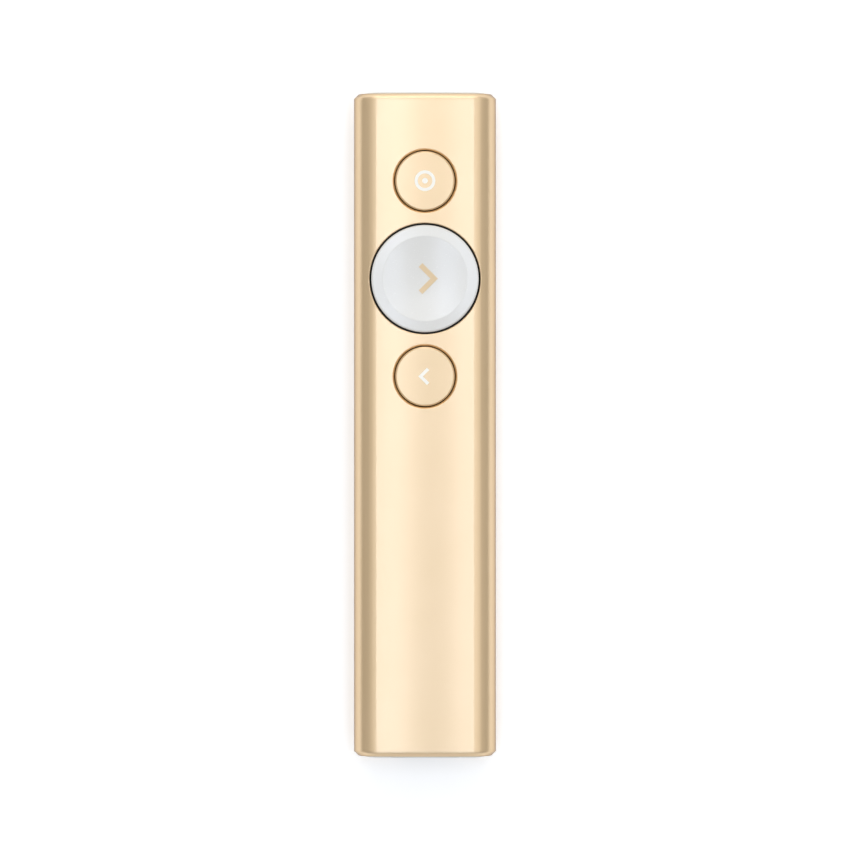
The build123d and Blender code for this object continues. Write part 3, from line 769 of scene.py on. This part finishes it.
# %% [markdown]
# ## Soft light
#
# Satin metal shows the room around it as soft bands, so the light is built from panels, each given by the
# angles that it spans as seen from the clicker. Two strong, slightly cool strips leave bright bands along
# the crown with a darker one between. Panels past the front end light the hollow of the large cap and the
# front end's bevel, and a faint window past the rear end keeps the metal bright when it is looked at from
# the front. A warm room fills the rest, darker behind the clicker than in front of it. Each panel hangs a
# little higher than the one before, so that none lies in another.

# %% Room
ROOM_TINT = "FFFDF6"
ROOM_TO_REAR, ROOM_TO_FRONT = 0.24, 0.6

world = bpy.data.worlds.new("studio")
scene.world = world
world.use_nodes = True
background = world.node_tree.nodes["Background"]
background.inputs["Color"].default_value = linear(ROOM_TINT)
facing = add_node(world.node_tree, "ShaderNodeTexCoord").outputs["Generated"]
forward = add_node(world.node_tree, "ShaderNodeSeparateXYZ", {"Vector": facing}).outputs["Y"]
strength = {"Value": forward, "From Min": -1, "To Min": ROOM_TO_REAR, "To Max": ROOM_TO_FRONT}
level = add_node(world.node_tree, "ShaderNodeMapRange", strength)
world.node_tree.links.new(level.outputs["Result"], background.inputs["Strength"])
print("room from", ROOM_TO_REAR, "to", ROOM_TO_FRONT)

# %% Panels
PANEL_HEIGHT = 1250 * MM
PANEL_STEP = 15 * MM
PANELS = {  # degrees across and along the clicker, brightness where white is one, and colour
    "left_wing": ((-75, -45), (-60, 60), 0.12, "FFFFFF"),
    "far_left_panel": ((-45, -26), (-55, 55), 0.25, "FFFFFF"),
    "near_left_panel": ((-26, -19), (-55, 55), 0.7, "FFFFFF"),
    "left_strip": ((-13, -5), (-55, 22), 2.95, "D8E6FF"),
    "right_strip": ((9, 16), (-55, 22), 2.9, "D8E6FF"),
    "right_panel": ((18, 45), (-55, 55), 0.55, "FFFFFF"),
    "right_wing": ((45, 75), (-60, 60), 0.15, "FFFFFF"),
    "front_panel": ((-9, 9), (9, 20), 1.3, "FFFFFF"),
    "front_window": ((-30, 30), (38, 58), 1.1, "FFFFFF"),
    "front_horizon": ((-50, 50), (64, 81), 2.6, "FFFFFF"),
    "rear_window": ((-50, 50), (-72, -58), 0.5, "FFFFFF"),
}
for step, (name, (x_degrees, y_degrees, radiance, tint)) in enumerate(PANELS.items()):
    height = PANEL_HEIGHT + step * PANEL_STEP
    (x0, x1), (y0, y1) = [
        [height * math.tan(math.radians(angle)) for angle in pair] for pair in (x_degrees, y_degrees)
    ]
    data = bpy.data.lights.new(name, "AREA")
    data.shape = "RECTANGLE"
    data.size, data.size_y = x1 - x0, y1 - y0
    data.energy = radiance * math.pi * data.size * data.size_y
    data.color = linear(tint)[:3]
    lamp = bpy.data.objects.new(name, data)
    lamp.location = ((x0 + x1) / 2, (y0 + y1) / 2, height)
    scene.collection.objects.link(lamp)
print(len(PANELS), "panels")

# %% [markdown]
# ## Finish
#
# The colours go to the picture plainly, through the Standard view transform.

# %% Finish
scene.view_settings.view_transform = "Standard"
